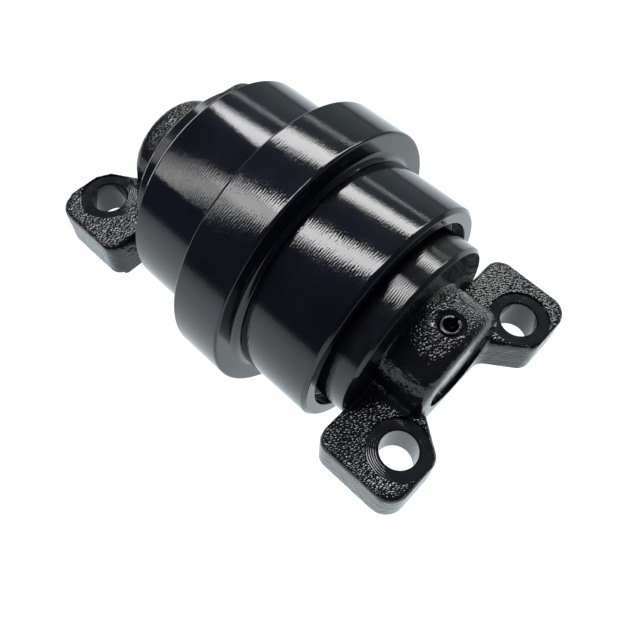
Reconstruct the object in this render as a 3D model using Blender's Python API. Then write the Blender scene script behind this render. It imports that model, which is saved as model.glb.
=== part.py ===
"""Centre-flange track roller for a mini excavator, built as an assembly.

The shaft lies along Y with the roller's middle at the origin. Two cast collars with bolt ears hold the
shaft still; the shell turns on it, on two flanged bushings, behind a floating seal at each end.
"""

import math

import bmesh
import bpy
from mathutils import Matrix, Vector

MM = 0.001
GAP = 0.3 * MM                       # clearance left between pieces that touch

# Shell: one forging with a guide flange between two treads
FLANGE_RADIUS = 65.0 * MM
FLANGE_HALF_WIDTH = 12.5 * MM
TREAD_RADIUS = 54.0 * MM
SHELL_HALF_LENGTH = 51.0 * MM
ROOT_FILLET = 3.0 * MM
TREAD_CHAMFER = 1.5 * MM
EDGE_ROUND = 1.0 * MM
END_RECESS_RADIUS = 47.5 * MM
END_RECESS_FLOOR = 44.0 * MM
OIL_CHAMBER_RADIUS = 24.0 * MM
OIL_CHAMBER_HALF_LENGTH = 14.0 * MM

# Shaft
SHAFT_RADIUS = 18.0 * MM
SHAFT_HALF_LENGTH = 84.8 * MM
SHAFT_CHAMFER = 1.2 * MM
ORING_STATION = 58.0 * MM
ORING_GROOVE_RADIUS = 15.4 * MM
ORING_GROOVE_WIDTH = 3.2 * MM
ORING_WIRE = 1.15 * MM
OIL_GALLERY_RADIUS = 2.5 * MM

# Bushings
BUSH_BORE = SHAFT_RADIUS + GAP
BUSH_OUTER = 21.5 * MM
BUSH_FLANGE_RADIUS = 26.7 * MM
BUSH_FLANGE_THICKNESS = 3.2 * MM
THRUST_FACE = 36.5 * MM              # outer face of the bushing's flange

# Floating seals: two steel rings face to face, each on a rubber toric ring
SEAL_PLANE = 44.5 * MM
SEAL_SEAT_MOUTH = 36.0 * MM
SEAL_SEAT_ROOT = 34.0 * MM
SEAL_SEAT_DEPTH = 8.0 * MM
SEAL_RING_BORE = 26.5 * MM
SEAL_RING_SLEEVE = 28.5 * MM
SEAL_RING_LIP = 32.0 * MM
SEAL_RING_LIP_THICKNESS = 1.95 * MM
SEAL_RING_LENGTH = 6.85 * MM
TORIC_WIRE = 2.45 * MM
TORIC_RADIUS = SEAL_RING_SLEEVE + GAP + TORIC_WIRE
TORIC_OFFSET = 4.85 * MM             # toric's centre from the seal plane

# Collars: seal housing, boss round the shaft, and a plate with two bolt ears
HOUSING_RADIUS = 43.5 * MM
HOUSING_INNER_END = 45.0 * MM
HOUSING_FACE = 63.5 * MM
HOUSING_CHAMFER = 1.5 * MM
HUB_RADIUS = 25.0 * MM
BOSS_RADIUS = 26.7 * MM
BOSS_END = 86.8 * MM
BOSS_ROUND = 5.0 * MM
EAR_TOP = -4.4 * MM
MOUNTING_FACE = -24.0 * MM
EAR_BACK = 62.8 * MM
EAR_FRONT = 103.4 * MM
EAR_HALF_SPAN = 60.6 * MM
EAR_TOP_ROUND = 1.6 * MM
EAR_BACK_CORNER = 6.0 * MM
EAR_FRONT_CORNER = 9.0 * MM
EAR_INNER_TIP = 33.0 * MM            # where an ear's inner side meets its front
EAR_INNER_ROOT = 21.0 * MM           # where it meets the web between the ears
EAR_INNER_CORNER = 7.0 * MM
WEB_CORNER = 6.0 * MM
BOSS_TO_EAR_FILLET = 8.0 * MM
FILLET_END = 83.8 * MM
BOLT_SPACING_X = 81.0 * MM
BOLT_SPACING_Y = 179.0 * MM
BOLT_HOLE_RADIUS = 8.0 * MM
SPOTFACE_RADIUS = 13.3 * MM
SPOTFACE_LEVEL = -5.4 * MM

# Slotted spring pins that lock each collar to the shaft
PIN_STATION = 76.0 * MM
PIN_RADIUS = 4.25 * MM
PIN_BORE = 3.1 * MM
PIN_LENGTH = 16.2 * MM
PIN_FOOT = 9.0 * MM                  # lower end of the front pin, which goes in through the crown
REAR_PIN_HEAD = -23.0 * MM           # lower end of the rear pin, which goes in from the mounting face
PIN_SLOT_ANGLE = math.radians(26)
PIN_COUNTERSINK = 6.2 * MM

# Oil plug with its washer, in the rear end of the shaft
PLUG_THREAD_RADIUS = 6.0 * MM
PLUG_LENGTH = 8.4 * MM
PLUG_HEAD_RADIUS = 8.0 * MM
PLUG_HEAD_THICKNESS = 2.2 * MM
PLUG_SOCKET_FLATS = 6.0 * MM
PLUG_SOCKET_DEPTH = 5.0 * MM
PLUG_COUNTERBORE_RADIUS = 8.4 * MM
PLUG_COUNTERBORE_DEPTH = 3.5 * MM
WASHER_THICKNESS = 1.0 * MM

# Facets around a full turn
SHELL_STEPS = 64
COLLAR_STEPS = 56
RING_STEPS = 48
TORIC_STEPS = 36
HOLE_STEPS = 32

CREASE = math.radians(32)


def clear_scene():
    for old in list(bpy.data.objects):
        bpy.data.objects.remove(old, do_unlink=True)


def material(name, color, roughness, metallic):
    made = bpy.data.materials.new(name)
    made.use_nodes = True
    shader = made.node_tree.nodes["Principled BSDF"]
    shader.inputs["Base Color"].default_value = (*color, 1.0)
    shader.inputs["Roughness"].default_value = roughness
    shader.inputs["Metallic"].default_value = metallic
    return made


def part(name, mesh, look, parent, station=0.0):
    """Finish a bmesh as a named object on the roller's axis, smooth apart from its real edges."""
    bmesh.ops.recalc_face_normals(mesh, faces=mesh.faces)
    data = bpy.data.meshes.new(name)
    mesh.to_mesh(data)
    mesh.free()
    made = bpy.data.objects.new(name, data)
    bpy.context.scene.collection.objects.link(made)
    made.location = (0.0, station, 0.0)
    made.parent = parent
    if look:
        data.materials.append(look)
    smooth(data)
    return made


def smooth(data):
    data.shade_smooth()
    data.set_sharp_from_angle(angle=CREASE)


def arc(center, radius, start, end, steps):
    """Points on an arc, with angles in degrees, both ends included."""
    angles = [math.radians(start + (end - start) * i / steps) for i in range(steps + 1)]
    return [(center[0] + radius * math.cos(a), center[1] + radius * math.sin(a)) for a in angles]


def mirrored(half):
    """Close an outline that is the same on both sides of the roller's middle."""
    return half + [(radius, -y) for radius, y in reversed(half)]


def revolve(outline, steps):
    """Spin an outline of (radius, y) points about Y; one that ends on the axis gives a solid core."""
    mesh = bmesh.new()
    corners = [mesh.verts.new((radius, y, 0.0)) for radius, y in outline]
    chain = list(zip(corners, corners[1:]))
    on_axis = outline[0][0] == 0.0 and outline[-1][0] == 0.0
    if not on_axis:
        chain.append((corners[-1], corners[0]))
    edges = [mesh.edges.new(pair) for pair in chain]
    bmesh.ops.spin(mesh, geom=corners + edges, cent=(0, 0, 0), axis=(0, 1, 0), dvec=(0, 0, 0),
                   angle=math.tau, steps=steps, use_merge=True, use_duplicate=False)
    bmesh.ops.remove_doubles(mesh, verts=mesh.verts, dist=0.001 * MM)
    return mesh


def torus(radius, wire, steps, wire_steps):
    turn = 360.0 / wire_steps
    return revolve(arc((radius, 0.0), wire, 0.0, 360.0 - turn, wire_steps - 1), steps)


def prism(outline, bottom, top):
    """Raise a flat outline of (x, y) points from one height to another."""
    mesh = bmesh.new()
    base = mesh.faces.new([mesh.verts.new((x, y, bottom)) for x, y in outline])
    raised = bmesh.ops.extrude_face_region(mesh, geom=[base])
    moved = [item for item in raised["geom"] if isinstance(item, bmesh.types.BMVert)]
    bmesh.ops.translate(mesh, verts=moved, vec=(0.0, 0.0, top - bottom))
    return mesh


def rod(radius, start, end, steps=HOLE_STEPS):
    """A round bar between two points."""
    start, end = Vector(start), Vector(end)
    mesh = bmesh.new()
    turn = (end - start).to_track_quat("Z", "Y").to_matrix().to_4x4()
    bmesh.ops.create_cone(mesh, cap_ends=True, segments=steps, radius1=radius, radius2=radius,
                          depth=(end - start).length, matrix=Matrix.Translation((start + end) / 2) @ turn)
    return mesh


def combine(body, tool, operation):
    """Join a bmesh to a part (UNION) or cut it away (DIFFERENCE)."""
    cutter = part("cutter", tool, None, None)
    modifier = body.modifiers.new(operation, "BOOLEAN")
    modifier.operation = operation
    modifier.object = cutter
    evaluated = body.evaluated_get(bpy.context.evaluated_depsgraph_get())
    result = bpy.data.meshes.new_from_object(evaluated)
    body.modifiers.clear()
    body.data = result
    bpy.data.objects.remove(cutter, do_unlink=True)


def rounded_outline(corners, steps=4):
    """Replace each (x, y, radius) corner by an arc that meets both of its sides."""
    points = []
    for i, (x, y, radius) in enumerate(corners):
        here = Vector((x, y))
        back = (Vector(corners[i - 1][:2]) - here).normalized()
        ahead = (Vector(corners[(i + 1) % len(corners)][:2]) - here).normalized()
        half = back.angle(ahead) / 2
        center = here + (back + ahead).normalized() * radius / math.sin(half)
        first = here + back * radius / math.tan(half) - center
        sweep = first.angle_signed(here + ahead * radius / math.tan(half) - center)
        for step in range(steps + 1):
            spoke = first.copy()
            spoke.rotate(Matrix.Rotation(-sweep * step / steps, 2))
            points.append(tuple(center + spoke))
    return points


def make_shell(look, spin):
    flange_corner = arc((FLANGE_RADIUS - EDGE_ROUND, FLANGE_HALF_WIDTH - EDGE_ROUND), EDGE_ROUND, 0, 90, 2)
    root_bottom = TREAD_RADIUS - 0.4 * MM
    root = arc((root_bottom + ROOT_FILLET, FLANGE_HALF_WIDTH + ROOT_FILLET), ROOT_FILLET, 270, 180, 3)
    tread_start = FLANGE_HALF_WIDTH + ROOT_FILLET + 0.6 * MM
    bore = BUSH_OUTER + GAP
    pocket = BUSH_FLANGE_RADIUS + GAP
    half = flange_corner + root + [
        (TREAD_RADIUS, tread_start),
        (TREAD_RADIUS, SHELL_HALF_LENGTH - TREAD_CHAMFER),
        (TREAD_RADIUS - TREAD_CHAMFER, SHELL_HALF_LENGTH),
        (END_RECESS_RADIUS, SHELL_HALF_LENGTH),
        (END_RECESS_RADIUS, END_RECESS_FLOOR),
        (SEAL_SEAT_MOUTH, END_RECESS_FLOOR),
        (SEAL_SEAT_ROOT, SEAL_PLANE - SEAL_SEAT_DEPTH),
        (pocket, SEAL_PLANE - SEAL_SEAT_DEPTH),
        (pocket, THRUST_FACE - BUSH_FLANGE_THICKNESS - GAP),
        (bore, THRUST_FACE - BUSH_FLANGE_THICKNESS - GAP),
        (bore, OIL_CHAMBER_HALF_LENGTH),
        (OIL_CHAMBER_RADIUS, OIL_CHAMBER_HALF_LENGTH - 2 * MM),
    ]
    part("roller_shell", revolve(mirrored(half), SHELL_STEPS), look, spin)


def make_shaft(look, frame):
    groove_start = ORING_STATION - ORING_GROOVE_WIDTH / 2
    groove_end = ORING_STATION + ORING_GROOVE_WIDTH / 2
    half = [
        (SHAFT_RADIUS, groove_start),
        (ORING_GROOVE_RADIUS, groove_start),
        (ORING_GROOVE_RADIUS, groove_end),
        (SHAFT_RADIUS, groove_end),
        (SHAFT_RADIUS, SHAFT_HALF_LENGTH - SHAFT_CHAMFER),
        (SHAFT_RADIUS - SHAFT_CHAMFER, SHAFT_HALF_LENGTH),
        (0.0, SHAFT_HALF_LENGTH),
    ]
    outline = [(radius, -y) for radius, y in reversed(half)] + half
    shaft = part("shaft", revolve(outline, RING_STEPS), look, frame)
    plug_floor = PLUG_COUNTERBORE_DEPTH - SHAFT_HALF_LENGTH
    thread_end = plug_floor + PLUG_LENGTH
    beyond = -SHAFT_HALF_LENGTH - 5 * MM
    cuts = [
        rod(PLUG_COUNTERBORE_RADIUS, (0, beyond, 0), (0, plug_floor, 0)),
        rod(PLUG_THREAD_RADIUS + GAP, (0, beyond, 0), (0, thread_end, 0)),
        rod(OIL_GALLERY_RADIUS, (0, beyond, 0), (0, 0, 0), 16),
        rod(OIL_GALLERY_RADIUS, (0, 0, -1 * MM), (0, 0, SHAFT_RADIUS + 5 * MM), 16),
    ]
    cuts.append(rod(PIN_RADIUS + GAP, (0, PIN_STATION, PIN_FOOT - GAP), (0, PIN_STATION, BOSS_RADIUS)))
    rear_pin_foot = REAR_PIN_HEAD + PIN_LENGTH + GAP
    cuts.append(rod(PIN_RADIUS + GAP, (0, -PIN_STATION, -BOSS_RADIUS), (0, -PIN_STATION, rear_pin_foot)))
    for cut in cuts:
        combine(shaft, cut, "DIFFERENCE")
    smooth(shaft.data)


def collar_core():
    """Turned body of a collar: thrust hub, seal seat, housing and boss, still without its bore."""
    boss_root = 2 * MM
    return [
        (0.0, THRUST_FACE + GAP),
        (HUB_RADIUS, THRUST_FACE + GAP),
        (HUB_RADIUS, SEAL_PLANE + SEAL_SEAT_DEPTH),
        (SEAL_SEAT_ROOT, SEAL_PLANE + SEAL_SEAT_DEPTH),
        (SEAL_SEAT_MOUTH, HOUSING_INNER_END),
        (HOUSING_RADIUS - EDGE_ROUND, HOUSING_INNER_END),
        (HOUSING_RADIUS, HOUSING_INNER_END + EDGE_ROUND),
        (HOUSING_RADIUS, HOUSING_FACE - HOUSING_CHAMFER),
        (HOUSING_RADIUS - HOUSING_CHAMFER, HOUSING_FACE),
        *arc((BOSS_RADIUS + boss_root, HOUSING_FACE + boss_root), boss_root, 270, 180, 2),
        *arc((BOSS_RADIUS - BOSS_ROUND, BOSS_END - BOSS_ROUND), BOSS_ROUND, 0, 90, 4),
        (0.0, BOSS_END),
    ]


def ear_plate():
    """Plate with both ears, flat below and rounded along its upper edge."""
    right = [
        (EAR_HALF_SPAN, EAR_BACK, EAR_BACK_CORNER),
        (EAR_HALF_SPAN, EAR_FRONT, EAR_FRONT_CORNER),
        (EAR_INNER_TIP, EAR_FRONT, EAR_INNER_CORNER),
        (EAR_INNER_ROOT, BOSS_END - 0.4 * MM, WEB_CORNER),
    ]
    left = [(-x, y, radius) for x, y, radius in reversed(right)]
    plate = prism(rounded_outline(right + left), MOUNTING_FACE, EAR_TOP)
    rim = [edge for edge in plate.edges if all(vert.co.z > EAR_TOP - 0.01 * MM for vert in edge.verts)]
    bmesh.ops.bevel(plate, geom=rim, offset=EAR_TOP_ROUND, segments=2, profile=0.5, affect="EDGES")
    return plate


def boss_fillet(side):
    """Concave blend, touching both the round of the boss and the top of one ear."""
    sunk = 0.1 * MM
    height = EAR_TOP + BOSS_TO_EAR_FILLET - sunk
    reach = math.sqrt((BOSS_RADIUS + BOSS_TO_EAR_FILLET - sunk) ** 2 - height ** 2)
    lean = math.degrees(math.atan2(height, reach))
    start, end = (180 + lean, 270) if side > 0 else (-lean, -90)
    curve = arc((side * reach, height), BOSS_TO_EAR_FILLET, start, end, 5)
    inside = side * (BOSS_RADIUS - 3 * MM)
    outline = curve + [(curve[-1][0], EAR_TOP - 2 * MM), (inside, EAR_TOP - 2 * MM), (inside, curve[0][1])]
    fillet = prism(outline, -FILLET_END, -(HOUSING_FACE - 0.5 * MM))
    bmesh.ops.rotate(fillet, verts=fillet.verts, cent=(0, 0, 0), matrix=Matrix.Rotation(math.pi / 2, 3, "X"))
    return fillet


def pin_cutter(mouth, turn):
    """Pin hole with its countersink, from the bore out to its mouth, turned about X."""
    hole = PIN_RADIUS + GAP
    above = mouth + 6 * MM
    outline = [(0.0, 0.0), (hole, 0.0), (hole, mouth - PIN_COUNTERSINK + hole), (PIN_COUNTERSINK, mouth),
               (PIN_COUNTERSINK, above), (0.0, above)]
    cutter = revolve(outline, HOLE_STEPS)
    stand_up = Matrix.Translation((0, PIN_STATION, 0)) @ Matrix.Rotation(turn, 4, "X")
    bmesh.ops.transform(cutter, matrix=stand_up, verts=cutter.verts)
    return cutter


def make_collar(name, turn, pin_hole, look, frame):
    """Cast collar, modelled at the front end; the rear one is the same casting turned about Z."""
    collar = part(name, revolve(collar_core(), COLLAR_STEPS), look, frame)
    below = 10 * MM
    for piece in (ear_plate(), boss_fillet(1), boss_fillet(-1)):
        combine(collar, piece, "UNION")
    flat = [(-HUB_RADIUS - below, HOUSING_FACE), (HUB_RADIUS + below, HOUSING_FACE),
            (HUB_RADIUS + below, BOSS_END + below), (-HUB_RADIUS - below, BOSS_END + below)]
    combine(collar, prism(flat, MOUNTING_FACE - below, MOUNTING_FACE), "DIFFERENCE")
    combine(collar, pin_hole, "DIFFERENCE")
    bore = [(0.0, THRUST_FACE - below), (BUSH_BORE, THRUST_FACE - below),
            (BUSH_BORE, BOSS_END + below), (0.0, BOSS_END + below)]
    combine(collar, revolve(bore, RING_STEPS), "DIFFERENCE")
    for side in (1, -1):
        x, y = side * BOLT_SPACING_X / 2, BOLT_SPACING_Y / 2
        combine(collar, rod(SPOTFACE_RADIUS, (x, y, SPOTFACE_LEVEL), (x, y, EAR_TOP + below)), "DIFFERENCE")
        combine(collar, rod(BOLT_HOLE_RADIUS, (x, y, MOUNTING_FACE - below), (x, y, below)), "DIFFERENCE")
    smooth(collar.data)
    collar.rotation_euler.z = turn


def make_bushing(name, side, look, spin):
    """Flanged plain bushing; its origin is on the thrust face."""
    sleeve_end = -(THRUST_FACE - OIL_CHAMBER_HALF_LENGTH - GAP)
    outline = [
        (BUSH_BORE, 0.0), (BUSH_FLANGE_RADIUS, 0.0), (BUSH_FLANGE_RADIUS, -BUSH_FLANGE_THICKNESS),
        (BUSH_OUTER, -BUSH_FLANGE_THICKNESS), (BUSH_OUTER, sleeve_end), (BUSH_BORE, sleeve_end),
    ]
    outline = [(radius, side * y) for radius, y in outline]
    part(name, revolve(outline, RING_STEPS), look, spin, side * THRUST_FACE)


def make_seal_ring(name, side, away, look, parent):
    """Steel seal ring with its origin on the seal plane; away is the way its sleeve points along Y."""
    face = GAP / 2
    lip_back = face + SEAL_RING_LIP_THICKNESS
    outline = [
        (SEAL_RING_BORE, face), (SEAL_RING_LIP, face), (SEAL_RING_LIP, lip_back - 0.6 * MM),
        (SEAL_RING_SLEEVE, lip_back), (SEAL_RING_SLEEVE, SEAL_RING_LENGTH), (SEAL_RING_BORE, SEAL_RING_LENGTH),
    ]
    outline = [(radius, away * y) for radius, y in outline]
    part(name, revolve(outline, RING_STEPS), look, parent, side * SEAL_PLANE)


def make_toric(name, side, away, look, parent):
    station = side * SEAL_PLANE + away * TORIC_OFFSET
    part(name, torus(TORIC_RADIUS, TORIC_WIRE, TORIC_STEPS, 8), look, parent, station)


def make_oring(name, side, look, parent):
    radius = ORING_GROOVE_RADIUS + GAP + ORING_WIRE
    part(name, torus(radius, ORING_WIRE, TORIC_STEPS, 6), look, parent, side * ORING_STATION)


def make_lock_pin(name, station, foot, look, parent):
    """Slotted spring pin standing across the shaft, with its slot towards -X."""
    steps = 16
    start = math.degrees(PIN_SLOT_ANGLE) / 2 - 180
    outer = arc((0, 0), PIN_RADIUS, start, start + 360 - math.degrees(PIN_SLOT_ANGLE), steps)
    inner = arc((0, 0), PIN_BORE, start + 360 - math.degrees(PIN_SLOT_ANGLE), start, steps)
    part(name, prism(outer + inner, foot, foot + PIN_LENGTH), look, parent, station)


def make_oil_plug(look, parent):
    """Flanged screw plug with a hexagon socket; its origin is under the head, which looks to -Y."""
    seat = SHAFT_HALF_LENGTH - PLUG_COUNTERBORE_DEPTH + WASHER_THICKNESS + 2 * GAP
    outline = [
        (0.0, PLUG_LENGTH), (PLUG_THREAD_RADIUS - EDGE_ROUND, PLUG_LENGTH),
        (PLUG_THREAD_RADIUS, PLUG_LENGTH - EDGE_ROUND), (PLUG_THREAD_RADIUS, 0.0), (PLUG_HEAD_RADIUS, 0.0),
        (PLUG_HEAD_RADIUS, 0.5 * MM - PLUG_HEAD_THICKNESS), (PLUG_HEAD_RADIUS - 0.5 * MM, -PLUG_HEAD_THICKNESS),
        (0.0, -PLUG_HEAD_THICKNESS),
    ]
    plug = part("oil_plug", revolve(outline, HOLE_STEPS), look, parent)
    socket_floor = PLUG_SOCKET_DEPTH - PLUG_HEAD_THICKNESS
    socket = rod(PLUG_SOCKET_FLATS / math.sqrt(3), (0, socket_floor, 0), (0, -PLUG_HEAD_THICKNESS * 2, 0), 6)
    combine(plug, socket, "DIFFERENCE")
    plug.location.y = -seat
    smooth(plug.data)


def make_plug_washer(look, parent):
    outline = [
        (PLUG_THREAD_RADIUS + GAP, 0.0), (PLUG_HEAD_RADIUS, 0.0),
        (PLUG_HEAD_RADIUS, -WASHER_THICKNESS), (PLUG_THREAD_RADIUS + GAP, -WASHER_THICKNESS),
    ]
    seat = SHAFT_HALF_LENGTH - PLUG_COUNTERBORE_DEPTH + GAP
    part("oil_plug_washer", revolve(outline, HOLE_STEPS), look, parent, -seat)


def make_roller():
    enamel = material("shell_enamel", (0.012, 0.013, 0.017), 0.18, 0.0)
    cast_enamel = material("collar_enamel", (0.016, 0.017, 0.021), 0.32, 0.0)
    ground_steel = material("ground_steel", (0.45, 0.46, 0.48), 0.25, 1.0)
    bronze = material("bushing_bronze", (0.62, 0.36, 0.13), 0.35, 1.0)
    seal_iron = material("seal_ring_iron", (0.30, 0.31, 0.33), 0.20, 1.0)
    rubber = material("seal_rubber", (0.02, 0.02, 0.02), 0.70, 0.0)
    spring_steel = material("spring_pin_steel", (0.10, 0.11, 0.13), 0.30, 0.6)
    plug_steel = material("plug_steel", (0.20, 0.21, 0.22), 0.40, 1.0)
    copper = material("washer_copper", (0.72, 0.33, 0.20), 0.35, 1.0)

    frame = bpy.data.objects.new("fixed_frame", None)
    spin = bpy.data.objects.new("roller_spin", None)
    for empty in (frame, spin):
        bpy.context.scene.collection.objects.link(empty)

    make_shell(enamel, spin)
    make_shaft(ground_steel, frame)
    make_oil_plug(plug_steel, frame)
    make_plug_washer(copper, frame)
    make_collar("collar_front", 0.0, pin_cutter(BOSS_RADIUS - 0.6 * MM, math.pi / 2), cast_enamel, frame)
    make_collar("collar_rear", math.pi, pin_cutter(0.1 * MM - MOUNTING_FACE, -math.pi / 2), cast_enamel, frame)
    make_lock_pin("lock_pin_front", PIN_STATION, PIN_FOOT, spring_steel, frame)
    make_lock_pin("lock_pin_rear", -PIN_STATION, REAR_PIN_HEAD, spring_steel, frame)
    for end, side in (("front", 1), ("rear", -1)):
        make_bushing(f"bushing_{end}", side, bronze, spin)
        make_seal_ring(f"seal_ring_fixed_{end}", side, side, seal_iron, frame)
        make_seal_ring(f"seal_ring_turning_{end}", side, -side, seal_iron, spin)
        make_toric(f"toric_ring_fixed_{end}", side, side, rubber, frame)
        make_toric(f"toric_ring_turning_{end}", side, -side, rubber, spin)
        make_oring(f"shaft_oring_{end}", side, rubber, frame)


clear_scene()
make_roller()
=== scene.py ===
"""Finished pieces, materials and studio for a black-enamelled centre-flange track roller.

The shaft lies along Y with the roller's middle at the origin. Turned pieces are lathed by one node
tree from their half sections; the collars are soft-edged castings with machined cuts.
"""
import math

import bmesh
import bpy
from mathutils import Matrix, Vector


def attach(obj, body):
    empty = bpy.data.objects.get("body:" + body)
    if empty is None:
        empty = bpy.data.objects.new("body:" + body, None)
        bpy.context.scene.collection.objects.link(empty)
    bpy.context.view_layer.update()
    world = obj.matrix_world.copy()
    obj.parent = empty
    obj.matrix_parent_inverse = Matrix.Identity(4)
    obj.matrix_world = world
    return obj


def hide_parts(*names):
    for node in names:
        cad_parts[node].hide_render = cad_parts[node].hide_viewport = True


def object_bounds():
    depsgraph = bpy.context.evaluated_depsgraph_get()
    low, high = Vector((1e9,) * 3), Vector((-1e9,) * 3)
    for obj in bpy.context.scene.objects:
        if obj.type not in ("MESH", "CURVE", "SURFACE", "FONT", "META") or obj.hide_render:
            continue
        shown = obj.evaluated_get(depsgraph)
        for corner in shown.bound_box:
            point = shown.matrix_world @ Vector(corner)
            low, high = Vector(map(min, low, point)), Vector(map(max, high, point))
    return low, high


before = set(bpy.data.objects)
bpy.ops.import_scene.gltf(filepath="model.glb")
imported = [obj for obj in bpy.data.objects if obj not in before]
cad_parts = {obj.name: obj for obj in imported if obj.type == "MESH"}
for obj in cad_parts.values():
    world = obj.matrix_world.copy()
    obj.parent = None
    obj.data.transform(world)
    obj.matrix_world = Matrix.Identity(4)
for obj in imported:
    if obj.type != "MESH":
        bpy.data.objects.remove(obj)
frame_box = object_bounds()

MM = 0.001
GAP = 0.3 * MM

# Shell
FLANGE_RADIUS = 65.0 * MM
FLANGE_HALF_WIDTH = 12.5 * MM
TREAD_RADIUS = 54.0 * MM
ROOT_RADIUS = 53.6 * MM
ROOT_FILLET = 3.0 * MM
TREAD_START = 16.1 * MM
TREAD_STEP = 0.3 * MM
SHELL_HALF_LENGTH = 51.0 * MM
TREAD_CHAMFER = 1.5 * MM
END_RECESS_RADIUS = 47.5 * MM
END_RECESS_FLOOR = 44.0 * MM
OIL_CHAMBER_RADIUS = 24.0 * MM
OIL_CHAMBER_HALF_LENGTH = 14.0 * MM
OIL_CHAMBER_CHAMFER = 2.0 * MM

# Shaft
SHAFT_RADIUS = 18.0 * MM
SHAFT_HALF_LENGTH = 84.8 * MM
SHAFT_CHAMFER = 1.2 * MM
ORING_STATION = 58.0 * MM
ORING_GROOVE_RADIUS = 15.4 * MM
ORING_GROOVE_WIDTH = 3.2 * MM
ORING_WIRE = 1.15 * MM
OIL_GALLERY_RADIUS = 2.5 * MM

# Bushings
BUSH_BORE = SHAFT_RADIUS + GAP
BUSH_OUTER = 21.5 * MM
BUSH_FLANGE_RADIUS = 26.7 * MM
BUSH_FLANGE_THICKNESS = 3.2 * MM
THRUST_FACE = 36.5 * MM

# Floating seals
SEAL_PLANE = 44.5 * MM
SEAT_MOUTH = 36.0 * MM
SEAT_ROOT = 34.0 * MM
SEAT_DEPTH = 8.0 * MM
SEAL_BORE = 26.5 * MM
SEAL_SLEEVE = 28.5 * MM
SEAL_LIP = 32.0 * MM
SEAL_LIP_THICKNESS = 1.95 * MM
SEAL_LIP_CHAMFER = 0.6 * MM
SEAL_LENGTH = 6.85 * MM
TORIC_WIRE = 2.45 * MM
TORIC_OFFSET = 4.85 * MM

# Collars
HOUSING_RADIUS = 43.5 * MM
HOUSING_INNER_END = 45.0 * MM
HOUSING_FACE = 63.5 * MM
HOUSING_CHAMFER = 1.5 * MM
HUB_RADIUS = 25.0 * MM
HOUSING_CORE = SHAFT_RADIUS - 4 * MM
BOSS_ROOT = HOUSING_FACE - 6 * MM
BOSS_RADIUS = 26.7 * MM
BOSS_END = 86.8 * MM
BOSS_ROUND = 5.0 * MM
EAR_TOP = -4.4 * MM
MOUNTING_FACE = -24.0 * MM
EAR_BACK = 62.8 * MM
EAR_FRONT = 103.4 * MM
EAR_HALF_SPAN = 60.6 * MM
EAR_TOP_ROUND = 2.4 * MM
EAR_BACK_CORNER = 6.0 * MM
EAR_FRONT_CORNER = 9.0 * MM
EAR_INNER_TIP = 33.0 * MM
EAR_INNER_ROOT = 21.0 * MM
EAR_INNER_CORNER = 7.0 * MM
WEB_CORNER = 6.0 * MM
BOSS_TO_EAR_FILLET = 8.0 * MM
FILLET_END = 83.8 * MM
BOLT_X = 40.5 * MM
BOLT_Y = 89.5 * MM
BOLT_HOLE_RADIUS = 8.0 * MM
BOLT_FOOT_CHAMFER = 0.6 * MM
BOLT_SEAT_CHAMFER = 0.7 * MM
SPOTFACE_RADIUS = 13.3 * MM
SPOTFACE_LEVEL = -5.4 * MM
CASTING_VOXEL = 0.6 * MM
SOFTENING_PASSES = 7
SKIN_GRAIN = 2.6 * MM
SKIN_DEPTH = 0.22 * MM

# Spring pins and oil plug
PIN_STATION = 76.0 * MM
PIN_RADIUS = 4.25 * MM
PIN_BORE = 3.1 * MM
PIN_LENGTH = 16.2 * MM
PIN_FOOT = 9.0 * MM
REAR_PIN_HEAD = -23.0 * MM
PIN_SLOT_ANGLE = 26
PIN_CHAMFER = 0.25 * MM
PIN_COUNTERSINK = 6.2 * MM
PLUG_THREAD_RADIUS = 6.0 * MM
PLUG_LENGTH = 8.4 * MM
PLUG_HEAD_RADIUS = 8.0 * MM
PLUG_HEAD_THICKNESS = 2.2 * MM
PLUG_SOCKET_FLATS = 6.0 * MM
PLUG_SOCKET_DEPTH = 5.0 * MM
PLUG_COUNTERBORE_RADIUS = 8.4 * MM
PLUG_COUNTERBORE_DEPTH = 3.5 * MM
PLUG_HEAD_EASE = 0.6 * MM
PLUG_TIP_CHAMFER = 1 * MM
WASHER_THICKNESS = 1.0 * MM
WASHER_EASE = 0.25 * MM

# Roundings of the small corners of turned pieces
HAIR_EASE = 0.1 * MM
FINE_EASE = 0.2 * MM
EASE = 0.3 * MM
SOFT_EASE = 0.4 * MM
BROAD_EASE = 0.5 * MM
ROUND_EASE = 1.0 * MM

# Facets round a full turn, and the angle past which an edge stays crisp
SHELL_STEPS = 192
RING_STEPS = 128
HOLE_STEPS = 72
CREASE = math.radians(28)


# ---------------------------------------------------------------- nodes

# Sockets of a colour Mix node: its share, its two colours, and its result
MIX_SHARE, MIX_FIRST, MIX_SECOND, MIX_RESULT = 0, 6, 7, 2


def add(tree, kind, inputs=(), **settings):
    """Add one node. Keyword settings are its properties; inputs pairs a socket with a value or an output."""
    node = tree.nodes.new(kind)
    for name, value in settings.items():
        setattr(node, name, value)
    for socket, source in dict(inputs).items():
        if isinstance(source, bpy.types.NodeSocket):
            tree.links.new(source, node.inputs[socket])
        else:
            node.inputs[socket].default_value = source
    return node


def hex_color(code):
    """Linear colour of an sRGB hex code."""
    channels = [int(code[i:i + 2], 16) / 255 for i in (1, 3, 5)]
    linear = [c / 12.92 if c <= 0.04045 else ((c + 0.055) / 1.055) ** 2.4 for c in channels]
    return (*linear, 1.0)


def new_material(name):
    """An empty material with its node tree and its shader."""
    made = bpy.data.materials.new(name)
    made.use_nodes = True
    tree = made.node_tree
    return made, tree, tree.nodes["Principled BSDF"]


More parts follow.
